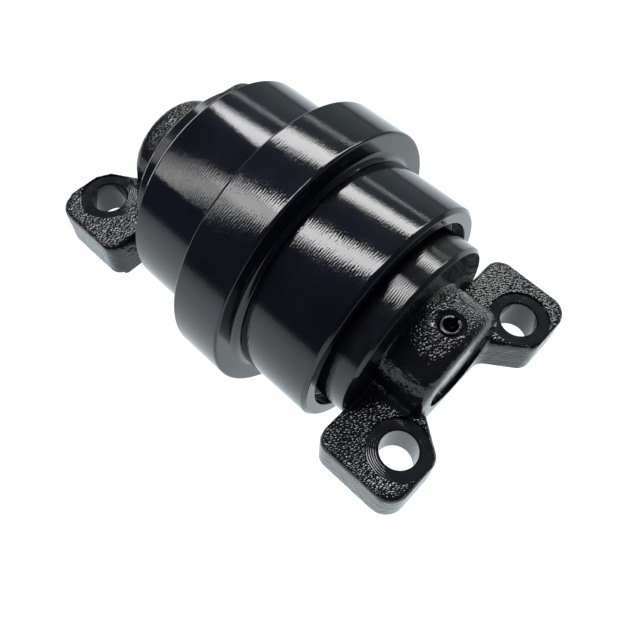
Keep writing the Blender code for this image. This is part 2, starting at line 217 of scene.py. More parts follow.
def drifting(tree, size, detail, least, most, low=0.3, high=0.7):
    """A value that drifts from least to most over blotches about `size` across, fixed to the piece.

    Noise seldom leaves the low to high part of its range, so only that part is spread out."""
    place = add(tree, "ShaderNodeTexCoord").outputs["Object"]
    noise = add(tree, "ShaderNodeTexNoise", {"Vector": place, "Scale": 1 / size, "Detail": detail})
    return add(tree, "ShaderNodeMapRange", {
        "Value": noise.outputs["Fac"], "From Min": low, "From Max": high, "To Min": least, "To Max": most,
    }).outputs["Result"]


def clouded(tree, size, detail, dark, light, low=0.3):
    """A colour that drifts between two hex colours over blotches about `size` across."""
    share = drifting(tree, size, detail, 0, 1, low)
    return add(tree, "ShaderNodeMix", {
        MIX_SHARE: share, MIX_FIRST: hex_color(dark), MIX_SECOND: hex_color(light),
    }, data_type="RGBA").outputs[MIX_RESULT]


def lumpy(tree, size, detail, depth, under=None):
    """Relief of soft lumps about `size` across and `depth` high, on top of the relief under it."""
    place = add(tree, "ShaderNodeTexCoord").outputs["Object"]
    noise = add(tree, "ShaderNodeTexNoise", {"Vector": place, "Scale": 1 / size, "Detail": detail})
    inputs = {"Height": noise.outputs["Fac"], "Distance": depth, "Strength": 1.0}
    if under is not None:
        inputs["Normal"] = under
    return add(tree, "ShaderNodeBump", inputs).outputs["Normal"]


# Lathe lines stray by this many pitches, over stretches of this length
LINE_WANDER = 2.5
LINE_WANDER_SIZE = 9 * MM


def turning_lines(tree, pitch, center=None):
    """Feed marks left by a lathe tool, from -1 to 1: rings round Y whose spacing is `pitch`, a little
    uneven.

    Counting both the radius and the station makes them run on over fillets and end faces. With a
    center, the rings are round an upright axis through that point, and its mirror images, instead."""
    place = add(tree, "ShaderNodeTexCoord").outputs["Object"]
    spot, plane, along = place, (1, 0, 1), "Y"
    if center is not None:
        quarter = add(tree, "ShaderNodeVectorMath", {0: place}, operation="ABSOLUTE").outputs[0]
        middle = (*center, 0)
        spot = add(tree, "ShaderNodeVectorMath", {0: quarter, 1: middle}, operation="SUBTRACT").outputs[0]
        plane, along = (1, 1, 0), "Z"
    spoke = add(tree, "ShaderNodeVectorMath", {0: spot, 1: plane}, operation="MULTIPLY").outputs[0]
    radius = add(tree, "ShaderNodeVectorMath", {0: spoke}, operation="LENGTH").outputs["Value"]
    station = add(tree, "ShaderNodeSeparateXYZ", {0: place}).outputs[along]
    travel = add(tree, "ShaderNodeMath", {0: radius, 1: station}, operation="ADD").outputs[0]
    wander = add(tree, "ShaderNodeTexNoise",
                 {"Vector": place, "Scale": 1 / LINE_WANDER_SIZE, "Detail": 2.0}).outputs["Fac"]
    uneven = add(tree, "ShaderNodeMath", {0: wander, 1: LINE_WANDER * pitch, 2: travel},
                 operation="MULTIPLY_ADD").outputs[0]
    phase = add(tree, "ShaderNodeMath", {0: uneven, 1: math.tau / pitch}, operation="MULTIPLY").outputs[0]
    return add(tree, "ShaderNodeMath", {0: phase}, operation="SINE").outputs[0]


# ---------------------------------------------------------------- materials

# Height of a casting's outward normal where its side ends and where its top begins
SIDE_ENDS = 0.68
TOP_BEGINS = 0.92
SAND_PITCH = 1.3 * MM


def shell_enamel():
    """Gloss black alkyd enamel sprayed over a turned forging: mirror-like, with the lathe's feed marks
    showing through it and a faint orange peel.

    Real feed marks are about 0.3 mm apart; they are drawn 1.05 mm apart, so that they show."""
    made, tree, shader = new_material("gloss_enamel_over_turned_steel")
    paint = clouded(tree, 26 * MM, 4.0, "#0e0f16", "#171a25")
    lines = turning_lines(tree, 1.05 * MM)
    crests = add(tree, "ShaderNodeMapRange", {
        "Value": lines, "From Min": 0.6, "From Max": 1.0, "To Min": 0, "To Max": 0.35,
    }).outputs["Result"]
    worn = add(tree, "ShaderNodeMix", {
        MIX_SHARE: crests, MIX_FIRST: paint, MIX_SECOND: hex_color("#24272d"),
    }, data_type="RGBA").outputs[MIX_RESULT]
    tree.links.new(worn, shader.inputs["Base Color"])
    tree.links.new(drifting(tree, 9 * MM, 5.0, 0.05, 0.1), shader.inputs["Roughness"])
    turned = add(tree, "ShaderNodeBump", {"Height": lines, "Distance": 0.003 * MM, "Strength": 1.0})
    peel = lumpy(tree, 1.0 * MM, 2.0, 0.024 * MM, turned.outputs["Normal"])
    tree.links.new(peel, shader.inputs["Normal"])
    return made


def cast_enamel():
    """The same enamel over a sand casting: glossy, on a coarse skin of sand grains.

    The grains stand out on upward faces; the sides came smoother and duller out of the mould. Real
    grains are about 0.5 mm apart; they are drawn 1.3 mm apart, so that they show."""
    made, tree, shader = new_material("gloss_enamel_over_sand_casting")
    place = add(tree, "ShaderNodeTexCoord").outputs
    facing = add(tree, "ShaderNodeSeparateXYZ", {0: place["Normal"]}).outputs["Z"]
    side_to_top = {"Value": facing, "From Min": SIDE_ENDS, "From Max": TOP_BEGINS}
    tree.links.new(clouded(tree, 14 * MM, 4.0, "#121316", "#1c1e22"), shader.inputs["Base Color"])
    gloss = add(tree, "ShaderNodeMapRange", {**side_to_top, "To Min": 0.2, "To Max": 0.06})
    satin = drifting(tree, 5 * MM, 4.0, gloss.outputs["Result"], 0.14)
    tree.links.new(satin, shader.inputs["Roughness"])
    sand = add(tree, "ShaderNodeTexVoronoi", {"Vector": place["Object"], "Scale": 1 / SAND_PITCH})
    height = add(tree, "ShaderNodeMapRange", {**side_to_top, "To Min": 0.3, "To Max": 1.0})
    domes = add(tree, "ShaderNodeMapRange", {
        "Value": sand.outputs["Distance"], "From Min": 0.0, "From Max": 0.8,
        "To Min": height.outputs["Result"], "To Max": 0.0,
    }).outputs["Result"]
    coarse = lumpy(tree, 3.5 * MM, 1.0, 0.3 * MM)
    grains = add(tree, "ShaderNodeBump",
                 {"Height": domes, "Distance": 0.3 * MM, "Strength": 1.0, "Normal": coarse}).outputs["Normal"]
    tree.links.new(grains, shader.inputs["Normal"])
    return made


def machined_enamel(name, center=None):
    """Enamel over a machined face of a casting: smooth, with rings from the tool.

    Real tool rings are about 0.3 mm apart; they are drawn 0.9 mm apart, so that they show."""
    made, tree, shader = new_material(name)
    tree.links.new(clouded(tree, 8 * MM, 4.0, "#131417", "#1e2025"), shader.inputs["Base Color"])
    tree.links.new(drifting(tree, 4 * MM, 4.0, 0.06, 0.13), shader.inputs["Roughness"])
    lines = turning_lines(tree, 0.9 * MM, center)
    rings = add(tree, "ShaderNodeBump", {"Height": lines, "Distance": 0.008 * MM, "Strength": 1.0})
    peel = lumpy(tree, 1.8 * MM, 2.0, 0.02 * MM, rings.outputs["Normal"])
    tree.links.new(peel, shader.inputs["Normal"])
    return made


def turned_metal(name, dark, light, roughness, pitch, depth):
    """Bare machined metal: colour clouds, tool rings and slightly rougher scuffs.

    The rings' pitch is two to four times the real one, so that they show."""
    made, tree, shader = new_material(name)
    shader.inputs["Metallic"].default_value = 1.0
    tree.links.new(clouded(tree, 6 * MM, 5.0, dark, light), shader.inputs["Base Color"])
    scuffs = drifting(tree, 2.5 * MM, 5.0, roughness, roughness + 0.14, high=0.75)
    tree.links.new(scuffs, shader.inputs["Roughness"])
    lines = turning_lines(tree, pitch)
    rings = add(tree, "ShaderNodeBump", {"Height": lines, "Distance": depth, "Strength": 1.0})
    scratches = lumpy(tree, 0.7 * MM, 3.0, 0.004 * MM, rings.outputs["Normal"])
    tree.links.new(scratches, shader.inputs["Normal"])
    return made


def nitrile_rubber():
    """Moulded nitrile rubber: matt black with a fine bloom."""
    made, tree, shader = new_material("moulded_nitrile_rubber")
    bloom = clouded(tree, 4 * MM, 5.0, "#131313", "#2a2928", low=0.35)
    tree.links.new(bloom, shader.inputs["Base Color"])
    tree.links.new(drifting(tree, 4 * MM, 5.0, 0.55, 0.78), shader.inputs["Roughness"])
    tree.links.new(lumpy(tree, 0.5 * MM, 3.0, 0.02 * MM), shader.inputs["Normal"])
    return made


LOOKS = {
    "shell_enamel": shell_enamel(),
    "collar_enamel": cast_enamel(),
    "ground_steel": turned_metal(
        "ground_induction_hardened_steel", "#8f9193", "#b4b6b8", 0.16, 0.5 * MM, 0.001 * MM),
    "bushing_bronze": turned_metal("turned_tin_bronze", "#a8763a", "#c9995a", 0.24, 0.6 * MM, 0.003 * MM),
    "seal_ring_iron": turned_metal("lapped_alloy_iron", "#6f7174", "#8d8f92", 0.14, 0.4 * MM, 0.001 * MM),
    "seal_rubber": nitrile_rubber(),
    "spring_pin_steel": turned_metal(
        "enamelled_spring_steel", "#3c3e43", "#56595f", 0.2, 0.8 * MM, 0.003 * MM),
    "plug_steel": turned_metal("black_oxide_steel", "#3c3d40", "#54565a", 0.34, 0.7 * MM, 0.003 * MM),
    "washer_copper": turned_metal("annealed_copper", "#b8704c", "#d08a66", 0.28, 0.6 * MM, 0.002 * MM),
}
SPOTFACE_LOOK = machined_enamel("gloss_enamel_over_spot_face", (BOLT_X, BOLT_Y))
HOUSING_LOOK = machined_enamel("gloss_enamel_over_turned_housing")


# ---------------------------------------------------------------- outlines

def arc(center, radius, start, end, steps):
    """Points on an arc, with angles in degrees, both ends included."""
    angles = [math.radians(start + (end - start) * i / steps) for i in range(steps + 1)]
    return [(center[0] + radius * math.cos(a), center[1] + radius * math.sin(a)) for a in angles]


def eased(corners, closed=True, steps=4, hold=0.3 * MM):
    """Round each (a, b, radius) corner of an outline.

    A point held just past each end of a rounding keeps the flats beside it flat when shaded smooth."""
    count = len(corners)
    points = []
    for i, (a, b, radius) in enumerate(corners):
        here = Vector((a, b))
        open_end = not closed and i in (0, count - 1)
        if open_end or radius == 0:
            points.append((a, b))
            continue
        to_back = Vector(corners[i - 1][:2]) - here
        to_ahead = Vector(corners[(i + 1) % count][:2]) - here
        back, ahead = to_back.normalized(), to_ahead.normalized()
        half = back.angle(ahead) / 2
        reach = radius / math.tan(half)
        center = here + (back + ahead).normalized() * radius / math.sin(half)
        first = here + back * reach - center
        sweep = first.angle_signed(here + ahead * reach - center)
        if to_back.length > 3 * (reach + hold):
            points.append(tuple(here + back * (reach + hold)))
        for step in range(steps + 1):
            spoke = first.copy()
            spoke.rotate(Matrix.Rotation(-sweep * step / steps, 2))
            points.append(tuple(center + spoke))
        if to_ahead.length > 3 * (reach + hold):
            points.append(tuple(here + ahead * (reach + hold)))
    return points


def mirrored(half):
    """Close a half section that is the same on both sides of the roller's middle."""
    return half + [(radius, -y, ease) for radius, y, ease in reversed(half)]


# ---------------------------------------------------------------- lathe

def lathe_tree():
    """Node tree that sweeps a half section in the XY plane round the Y axis."""
    tree = bpy.data.node_groups.new("lathe", "GeometryNodeTree")
    face = tree.interface
    face.new_socket("Section", in_out="INPUT", socket_type="NodeSocketGeometry")
    face.new_socket("Steps", in_out="INPUT", socket_type="NodeSocketInt")
    face.new_socket("Sweep Radius", in_out="INPUT", socket_type="NodeSocketFloat")
    face.new_socket("Finish", in_out="INPUT", socket_type="NodeSocketMaterial")
    face.new_socket("Piece", in_out="OUTPUT", socket_type="NodeSocketGeometry")
    entry = add(tree, "NodeGroupInput").outputs
    section = add(tree, "GeometryNodeMeshToCurve", {"Mesh": entry["Section"]}).outputs["Curve"]
    back = add(tree, "ShaderNodeMath", {0: entry["Sweep Radius"], 1: -1.0}, operation="MULTIPLY").outputs[0]
    shift = add(tree, "ShaderNodeCombineXYZ", {"X": back}).outputs[0]
    moved = add(tree, "GeometryNodeTransform", {"Geometry": section, "Translation": shift}).outputs[0]
    circle = add(tree, "GeometryNodeCurvePrimitiveCircle",
                 {"Resolution": entry["Steps"], "Radius": entry["Sweep Radius"]}, mode="RADIUS").outputs[0]
    swept = add(tree, "GeometryNodeCurveToMesh", {"Curve": circle, "Profile Curve": moved}).outputs[0]
    upright = add(tree, "GeometryNodeTransform",
                  {"Geometry": swept, "Rotation": (math.pi / 2, 0, 0)}).outputs[0]
    closed = add(tree, "GeometryNodeMergeByDistance", {"Geometry": upright, "Distance": 1e-6}).outputs[0]
    smooth = add(tree, "GeometryNodeSetShadeSmooth", {"Geometry": closed}).outputs[0]
    real = add(tree, "GeometryNodeRealizeInstances", {"Geometry": smooth}).outputs[0]
    finish = add(tree, "GeometryNodeSetMaterial", {"Geometry": real, "Material": entry["Finish"]}).outputs[0]
    add(tree, "NodeGroupOutput", {"Piece": finish})
    return tree


LATHE = lathe_tree()

# Circle that the lathe carries a section along; the section is shifted back by as much
SWEEP_RADIUS = 10 * MM


def applied(obj, modifier):
    """The object's mesh with its modifier applied, as plain data."""
    bpy.context.view_layer.update()
    evaluated = obj.evaluated_get(bpy.context.evaluated_depsgraph_get())
    data = bpy.data.meshes.new_from_object(evaluated)
    old = obj.data
    obj.modifiers.remove(modifier)
    obj.data = data
    bpy.data.meshes.remove(old)
    return data


def shaped(obj, tree, values):
    """Run a node tree on an object, with values for the tree's named inputs, and keep the result."""
    modifier = obj.modifiers.new(tree.name, "NODES")
    modifier.node_group = tree
    for item in tree.interface.items_tree:
        if item.name in values:
            modifier[item.identifier] = values[item.name]
    return applied(obj, modifier)


def as_object(name, data):
    """Put a mesh in the scene."""
    made = bpy.data.objects.new(name, data)
    bpy.context.scene.collection.objects.link(made)
    return made


def lathed(name, section, look, steps=RING_STEPS, station=0.0):
    """Turn a closed (radius, y) section, or one that starts and ends on the axis, into a round piece."""
    on_axis = section[0][0] == 0.0 and section[-1][0] == 0.0
    count = len(section)
    edges = [(i, (i + 1) % count) for i in range(count - 1 if on_axis else count)]
    data = bpy.data.meshes.new(name)
    data.from_pydata([(radius, y + station, 0.0) for radius, y in section], edges, [])
    obj = as_object(name, data)
    tidy(shaped(obj, LATHE, {"Steps": steps, "Sweep Radius": SWEEP_RADIUS, "Finish": look}))
    return obj


def tidy(data):
    """Merge what coincides and turn every face outwards."""
    mesh = bmesh.new()
    mesh.from_mesh(data)
    bmesh.ops.remove_doubles(mesh, verts=mesh.verts, dist=0.0005 * MM)
    bmesh.ops.recalc_face_normals(mesh, faces=mesh.faces)
    mesh.to_mesh(data)
    mesh.free()


def prism(outline, bottom, top):
    """Raise a flat outline of (x, y) points from one height to another."""
    mesh = bmesh.new()
    base = mesh.faces.new([mesh.verts.new((x, y, bottom)) for x, y in outline])
    raised = bmesh.ops.extrude_face_region(mesh, geom=[base])
    moved = [item for item in raised["geom"] if isinstance(item, bmesh.types.BMVert)]
    bmesh.ops.translate(mesh, verts=moved, vec=(0.0, 0.0, top - bottom))
    bmesh.ops.recalc_face_normals(mesh, faces=mesh.faces)
    return mesh


def rod(radius, start, end, steps=HOLE_STEPS, end_radius=None):
    """A round bar, or a cone, between two points."""
    start, end = Vector(start), Vector(end)
    mesh = bmesh.new()
    turn = (end - start).to_track_quat("Z", "Y").to_matrix().to_4x4()
    bmesh.ops.create_cone(mesh, cap_ends=True, segments=steps, radius1=radius,
                          radius2=radius if end_radius is None else end_radius,
                          depth=(end - start).length, matrix=Matrix.Translation((start + end) / 2) @ turn)
    return mesh


def joined(name, meshes, look):
    """Several bmeshes as the loose bodies of one object."""
    whole = bmesh.new()
    for mesh in meshes:
        data = bpy.data.meshes.new(name)
        mesh.to_mesh(data)
        mesh.free()
        whole.from_mesh(data)
        bpy.data.meshes.remove(data)
    data = bpy.data.meshes.new(name)
    whole.to_mesh(data)
    whole.free()
    data.materials.append(look)
    return as_object(name, data)


def combine(body, tool, operation):
    """Join a tool object to a body (UNION) or cut it away (DIFFERENCE); the tool's faces keep its look."""
    modifier = body.modifiers.new(operation, "BOOLEAN")
    modifier.operation = operation
    modifier.object = tool
    modifier.material_mode = "TRANSFER"
    applied(body, modifier)
    bpy.data.objects.remove(tool, do_unlink=True)


def shade(data, angle=CREASE):
    """Smooth shading, with edges past the angle left crisp."""
    data.shade_smooth()
    data.set_sharp_from_angle(angle=angle)


def fit(obj, body, node):
    """Hand a finished piece to the frame: what it moves with, and which node it stands for."""
    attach(obj, body)
    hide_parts(node)


# ---------------------------------------------------------------- turned pieces

def make_shell():
    """Forged and turned shell: guide flange between two treads, with recesses for seals and bushings."""
    bore = BUSH_OUTER + GAP
    pocket = BUSH_FLANGE_RADIUS + GAP
    pocket_floor = THRUST_FACE - BUSH_FLANGE_THICKNESS - GAP
    half = [
        (FLANGE_RADIUS, FLANGE_HALF_WIDTH, ROUND_EASE),
        (ROOT_RADIUS, FLANGE_HALF_WIDTH, ROOT_FILLET),
        (ROOT_RADIUS, TREAD_START - TREAD_STEP, HAIR_EASE),
        (TREAD_RADIUS, TREAD_START, FINE_EASE),
        (TREAD_RADIUS, SHELL_HALF_LENGTH - TREAD_CHAMFER, BROAD_EASE),
        (TREAD_RADIUS - TREAD_CHAMFER, SHELL_HALF_LENGTH, BROAD_EASE),
        (END_RECESS_RADIUS, SHELL_HALF_LENGTH, SOFT_EASE),
        (END_RECESS_RADIUS, END_RECESS_FLOOR, ROUND_EASE),
        (SEAT_MOUTH, END_RECESS_FLOOR, EASE),
        (SEAT_ROOT, SEAL_PLANE - SEAT_DEPTH, SOFT_EASE),
        (pocket, SEAL_PLANE - SEAT_DEPTH, FINE_EASE),
        (pocket, pocket_floor, FINE_EASE),
        (bore, pocket_floor, FINE_EASE),
        (bore, OIL_CHAMBER_HALF_LENGTH, FINE_EASE),
        (OIL_CHAMBER_RADIUS, OIL_CHAMBER_HALF_LENGTH - OIL_CHAMBER_CHAMFER, BROAD_EASE),
    ]
    shell = lathed("roller_shell_finish", eased(mirrored(half)), LOOKS["shell_enamel"], SHELL_STEPS)
    fit(shell, "roller", "roller_shell")


def make_shaft():
    """Fixed shaft: O-ring grooves, pin holes, and the oil gallery with its counterbore at the rear."""
    start = ORING_STATION - ORING_GROOVE_WIDTH / 2
    end = ORING_STATION + ORING_GROOVE_WIDTH / 2
    half = [
        (SHAFT_RADIUS, start, FINE_EASE), (ORING_GROOVE_RADIUS, start, EASE),
        (ORING_GROOVE_RADIUS, end, EASE), (SHAFT_RADIUS, end, FINE_EASE),
        (SHAFT_RADIUS, SHAFT_HALF_LENGTH - SHAFT_CHAMFER, EASE),
        (SHAFT_RADIUS - SHAFT_CHAMFER, SHAFT_HALF_LENGTH, EASE),
        (0.0, SHAFT_HALF_LENGTH, 0.0),
    ]
    section = [(radius, -y, ease) for radius, y, ease in reversed(half)] + half
    shaft = lathed("shaft_finish", eased(section, closed=False), LOOKS["ground_steel"])
    floor = PLUG_COUNTERBORE_DEPTH - SHAFT_HALF_LENGTH
    beyond = -SHAFT_HALF_LENGTH - 5 * MM
    cuts = [
        rod(PLUG_COUNTERBORE_RADIUS, (0, beyond, 0), (0, floor, 0)),
        rod(PLUG_THREAD_RADIUS + GAP, (0, beyond, 0), (0, floor + PLUG_LENGTH, 0)),
        rod(OIL_GALLERY_RADIUS, (0, beyond, 0), (0, 0, 0), 24),
        rod(OIL_GALLERY_RADIUS, (0, 0, -1 * MM), (0, 0, SHAFT_RADIUS + 5 * MM), 24),
    ]
    cuts.append(rod(PIN_RADIUS + GAP, (0, PIN_STATION, PIN_FOOT - GAP), (0, PIN_STATION, BOSS_RADIUS)))
    rear_pin_foot = REAR_PIN_HEAD + PIN_LENGTH + GAP
    cuts.append(rod(PIN_RADIUS + GAP, (0, -PIN_STATION, -BOSS_RADIUS), (0, -PIN_STATION, rear_pin_foot)))
    for cut in cuts:
        combine(shaft, joined("cut", [cut], LOOKS["ground_steel"]), "DIFFERENCE")
    shade(shaft.data)
    fit(shaft, "frame_side", "shaft")


def make_bushing(end, side):
    """Flanged bronze bushing, pressed into one end of the shell."""
    sleeve_end = THRUST_FACE - OIL_CHAMBER_HALF_LENGTH - GAP
    section = eased([
        (BUSH_BORE, 0.0, SOFT_EASE), (BUSH_FLANGE_RADIUS, 0.0, BROAD_EASE),
        (BUSH_FLANGE_RADIUS, -BUSH_FLANGE_THICKNESS, EASE), (BUSH_OUTER, -BUSH_FLANGE_THICKNESS, EASE),
        (BUSH_OUTER, -sleeve_end, BROAD_EASE), (BUSH_BORE, -sleeve_end, SOFT_EASE),
    ])
    section = [(radius, side * (THRUST_FACE + y)) for radius, y in section]
    bushing = lathed(f"bushing_{end}_finish", section, LOOKS["bushing_bronze"])
    fit(bushing, "roller", f"bushing_{end}")


def make_seal_half(end, side, kind, away, body):
    """One iron ring of a floating seal with its toric; away is the way its sleeve points along Y."""
    face = GAP / 2
    back = face + SEAL_LIP_THICKNESS
    section = eased([
        (SEAL_BORE, face, FINE_EASE), (SEAL_LIP, face, EASE), (SEAL_LIP, back - SEAL_LIP_CHAMFER, FINE_EASE),
        (SEAL_SLEEVE, back, BROAD_EASE), (SEAL_SLEEVE, SEAL_LENGTH, EASE), (SEAL_BORE, SEAL_LENGTH, EASE),
    ])
    plane = side * SEAL_PLANE
    ring = lathed(f"seal_ring_{kind}_{end}_finish", [(radius, plane + away * y) for radius, y in section],
                  LOOKS["seal_ring_iron"])
    fit(ring, body, f"seal_ring_{kind}_{end}")
    center = (SEAL_SLEEVE + GAP + TORIC_WIRE, plane + away * TORIC_OFFSET)
    toric = lathed(f"toric_ring_{kind}_{end}_finish", arc(center, TORIC_WIRE, 0, 348.75, 31),
                   LOOKS["seal_rubber"])
    fit(toric, body, f"toric_ring_{kind}_{end}")


def make_oring(end, side):
    """O-ring in its groove, between the shaft and one collar."""
    center = (ORING_GROOVE_RADIUS + GAP + ORING_WIRE, side * ORING_STATION)
    ring = lathed(f"shaft_oring_{end}_finish", arc(center, ORING_WIRE, 0, 345, 23), LOOKS["seal_rubber"])
    fit(ring, "frame_side", f"shaft_oring_{end}")


def make_oil_plug():
    """Flanged screw plug with a hexagon socket, in the rear end of the shaft; its head looks to -Y."""
    seat = SHAFT_HALF_LENGTH - PLUG_COUNTERBORE_DEPTH + WASHER_THICKNESS + 2 * GAP
    section = eased([
        (0.0, -PLUG_LENGTH, 0.0), (PLUG_THREAD_RADIUS - PLUG_TIP_CHAMFER, -PLUG_LENGTH, FINE_EASE),
        (PLUG_THREAD_RADIUS, PLUG_TIP_CHAMFER - PLUG_LENGTH, FINE_EASE), (PLUG_THREAD_RADIUS, 0.0, FINE_EASE),
        (PLUG_HEAD_RADIUS, 0.0, FINE_EASE), (PLUG_HEAD_RADIUS, PLUG_HEAD_THICKNESS, PLUG_HEAD_EASE),
        (0.0, PLUG_HEAD_THICKNESS, 0.0),
    ], closed=False)
    plug = lathed("oil_plug_finish", [(radius, -seat - y) for radius, y in section], LOOKS["plug_steel"])
    top = -seat - PLUG_HEAD_THICKNESS
    socket = rod(PLUG_SOCKET_FLATS / math.sqrt(3), (0, top + PLUG_SOCKET_DEPTH, 0), (0, top - 3 * MM, 0), 6)
    combine(plug, joined("cut", [socket], LOOKS["plug_steel"]), "DIFFERENCE")
    shade(plug.data)
    fit(plug, "frame_side", "oil_plug")


def make_plug_washer():
    """Copper sealing washer under the head of the oil plug."""
    seat = SHAFT_HALF_LENGTH - PLUG_COUNTERBORE_DEPTH + GAP
    inner = PLUG_THREAD_RADIUS + GAP
    top = seat + WASHER_THICKNESS
    section = eased([
        (inner, seat, WASHER_EASE), (PLUG_HEAD_RADIUS, seat, WASHER_EASE),
        (PLUG_HEAD_RADIUS, top, WASHER_EASE), (inner, top, WASHER_EASE),
    ])
    washer = lathed("oil_plug_washer_finish", [(radius, -y) for radius, y in section], LOOKS["washer_copper"])
    fit(washer, "frame_side", "oil_plug_washer")


# ---------------------------------------------------------------- collars

def turned_housing():
    """Machined part of a collar: thrust hub, seal seat and outer housing."""
    section = eased([
        (HOUSING_CORE, THRUST_FACE + GAP, 0.0),
        (HUB_RADIUS, THRUST_FACE + GAP, SOFT_EASE),
        (HUB_RADIUS, SEAL_PLANE + SEAT_DEPTH, SOFT_EASE),
        (SEAT_ROOT, SEAL_PLANE + SEAT_DEPTH, SOFT_EASE),
        (SEAT_MOUTH, HOUSING_INNER_END, EASE),
        (HOUSING_RADIUS, HOUSING_INNER_END, ROUND_EASE),
        (HOUSING_RADIUS, HOUSING_FACE - HOUSING_CHAMFER, SOFT_EASE),
        (HOUSING_RADIUS - HOUSING_CHAMFER, HOUSING_FACE, SOFT_EASE),
        (HOUSING_CORE, HOUSING_FACE, 0.0),
    ])
    return lathed("housing", section, HOUSING_LOOK, SHELL_STEPS)


def ear_plate():
    """Plate with both ears, rounded along its upper edge and left thick below for machining."""
    right = [
        (EAR_HALF_SPAN, EAR_BACK, EAR_BACK_CORNER),
        (EAR_HALF_SPAN, EAR_FRONT, EAR_FRONT_CORNER),
        (EAR_INNER_TIP, EAR_FRONT, EAR_INNER_CORNER),
        (EAR_INNER_ROOT, BOSS_END - 0.4 * MM, WEB_CORNER),
    ]
    left = [(-x, y, radius) for x, y, radius in reversed(right)]
    plate = prism(eased(right + left, steps=8, hold=0.0), MOUNTING_FACE - 2 * MM, EAR_TOP)
    rim = [edge for edge in plate.edges if all(vert.co.z > EAR_TOP - 0.01 * MM for vert in edge.verts)]
    bmesh.ops.bevel(plate, geom=rim, offset=EAR_TOP_ROUND, segments=3, profile=0.5, affect="EDGES")
    return plate


def boss_bar():
    """Boss round the shaft, with its rounded outer end."""
    core = rod(BOSS_RADIUS, (0, BOSS_ROOT, 0), (0, BOSS_END, 0), 160)
    rim = [edge for edge in core.edges if all(vert.co.y > BOSS_END - 0.01 * MM for vert in edge.verts)]
    bmesh.ops.bevel(core, geom=rim, offset=BOSS_ROUND, segments=4, profile=0.5, affect="EDGES")
    return core


def boss_fillet(side):
    """Concave blend, touching both the round of the boss and the top of one ear."""
    sunk = 0.1 * MM
    height = EAR_TOP + BOSS_TO_EAR_FILLET - sunk
    reach = math.sqrt((BOSS_RADIUS + BOSS_TO_EAR_FILLET - sunk) ** 2 - height ** 2)
    lean = math.degrees(math.atan2(height, reach))
    start, end = (180 + lean, 270) if side > 0 else (-lean, -90)
    curve = arc((side * reach, height), BOSS_TO_EAR_FILLET, start, end, 10)
    inside = side * (BOSS_RADIUS - 3 * MM)
    outline = curve + [(curve[-1][0], EAR_TOP - 2 * MM), (inside, EAR_TOP - 2 * MM), (inside, curve[0][1])]
    fillet = prism(outline, -FILLET_END, -(HOUSING_FACE - 0.5 * MM))
    bmesh.ops.rotate(fillet, verts=fillet.verts, cent=(0, 0, 0), matrix=Matrix.Rotation(math.pi / 2, 3, "X"))
    return fillet


def bolt_cutter(side):
    """Spot face and bolt hole of one ear, with a small chamfer at the hole's mouth."""
    below, above = MOUNTING_FACE - 4 * MM, EAR_TOP + 12 * MM
    foot_mouth = BOLT_HOLE_RADIUS + BOLT_FOOT_CHAMFER
    seat_mouth = BOLT_HOLE_RADIUS + BOLT_SEAT_CHAMFER
    section = [
        (0.0, below), (foot_mouth, below),
        (foot_mouth, MOUNTING_FACE), (BOLT_HOLE_RADIUS, MOUNTING_FACE + BOLT_FOOT_CHAMFER),
        (BOLT_HOLE_RADIUS, SPOTFACE_LEVEL - BOLT_SEAT_CHAMFER), (seat_mouth, SPOTFACE_LEVEL),
        (SPOTFACE_RADIUS, SPOTFACE_LEVEL), (SPOTFACE_RADIUS, above), (0.0, above),
    ]
    tool = lathed("bolt_cutter", section, SPOTFACE_LOOK, 96)
    stand_up = Matrix.Translation((side * BOLT_X, BOLT_Y, 0)) @ Matrix.Rotation(math.pi / 2, 4, "X")
    tool.data.transform(stand_up)
    tidy(tool.data)
    return tool


def pin_cutter(mouth, turn):
    """Pin hole with its countersink, from the bore out to its mouth, turned about X."""
    hole = PIN_RADIUS + GAP
    depth = PIN_COUNTERSINK - hole
    above = mouth + 6 * MM
    section = [
        (0.0, 0.0), (hole, 0.0), (hole, mouth - depth), (PIN_COUNTERSINK, mouth),
        (PIN_COUNTERSINK + 0.6 * MM, above), (0.0, above),
    ]
    tool = lathed("pin_cutter", section, SPOTFACE_LOOK, 64)
    tool.data.transform(Matrix.Translation((0, PIN_STATION, 0)) @ Matrix.Rotation(turn, 4, "X"))
    tidy(tool.data)
    return tool


